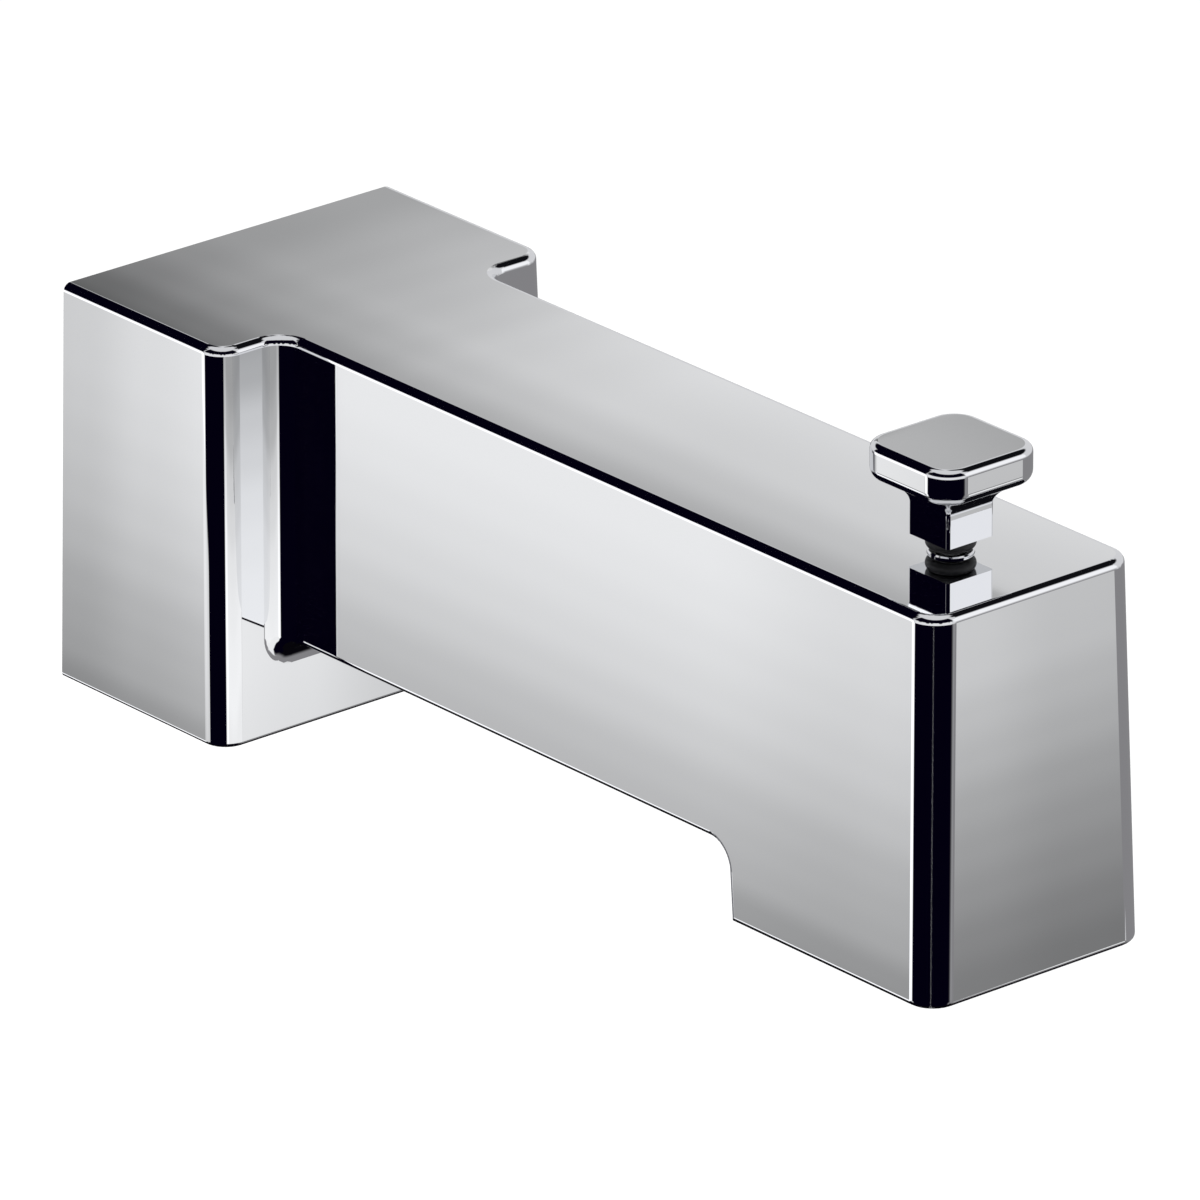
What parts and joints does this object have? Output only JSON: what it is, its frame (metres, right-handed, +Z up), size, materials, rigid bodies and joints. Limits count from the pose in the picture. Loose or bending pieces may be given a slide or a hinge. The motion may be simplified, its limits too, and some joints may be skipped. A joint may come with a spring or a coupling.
{
  "type": "bath spout",
  "caption": "Square wall-mounted bath spout with a turned-down outlet lip and a lift knob that sends the water up to a shower.",
  "frame": {"origin": "the inlet's axis in the wall plane, at the middle of the square block's back", "axes": "+Y into the wall along the supply tube, so the spout points along -Y; +Z up; X across"},
  "size_m": [0.0668, 0.1855, 0.0806],
  "materials": {
    "chrome_plate": "polished chrome plate",
    "bush_brass": "chrome-plated turned brass",
    "brass": "turned",
    "tube_brass": "drawn",
    "nitrile_rubber": "moulded",
    "stainless_steel": "turned",
    "acetal": "moulded",
    "nylon": "moulded"
  },
  "bodies": {
    "spout": {"spout_shell": "chrome_plate", "rod_bushing": "bush_brass", "inlet_hub": "brass", "hub_plate": "stainless_steel", "waterway_tube": "tube_brass", "inlet_o_ring_rear": "nitrile_rubber", "inlet_o_ring_front": "nitrile_rubber", "tube_o_ring_rear": "nitrile_rubber", "tube_o_ring_front": "nitrile_rubber", "rod_o_ring": "nitrile_rubber", "set_screw": "stainless_steel", "plate_screws": "stainless_steel", "housing_screws": "stainless_steel", "diverter_housing": "acetal"},
    "diverter": {"lift_knob": "chrome_plate", "lift_rod": "stainless_steel", "knob_bumper": "nitrile_rubber", "stop_washer": "nylon", "rod_clip": "stainless_steel", "diverter_gate": "brass", "gate_seal": "nitrile_rubber", "gate_pin": "stainless_steel"}
  },
  "joints": [
    {"name": "diverter_lift", "type": "slide", "parent": "spout", "child": "diverter", "axis": [0, 0, 1], "range_m": [0, 0.0115]}
  ]
}
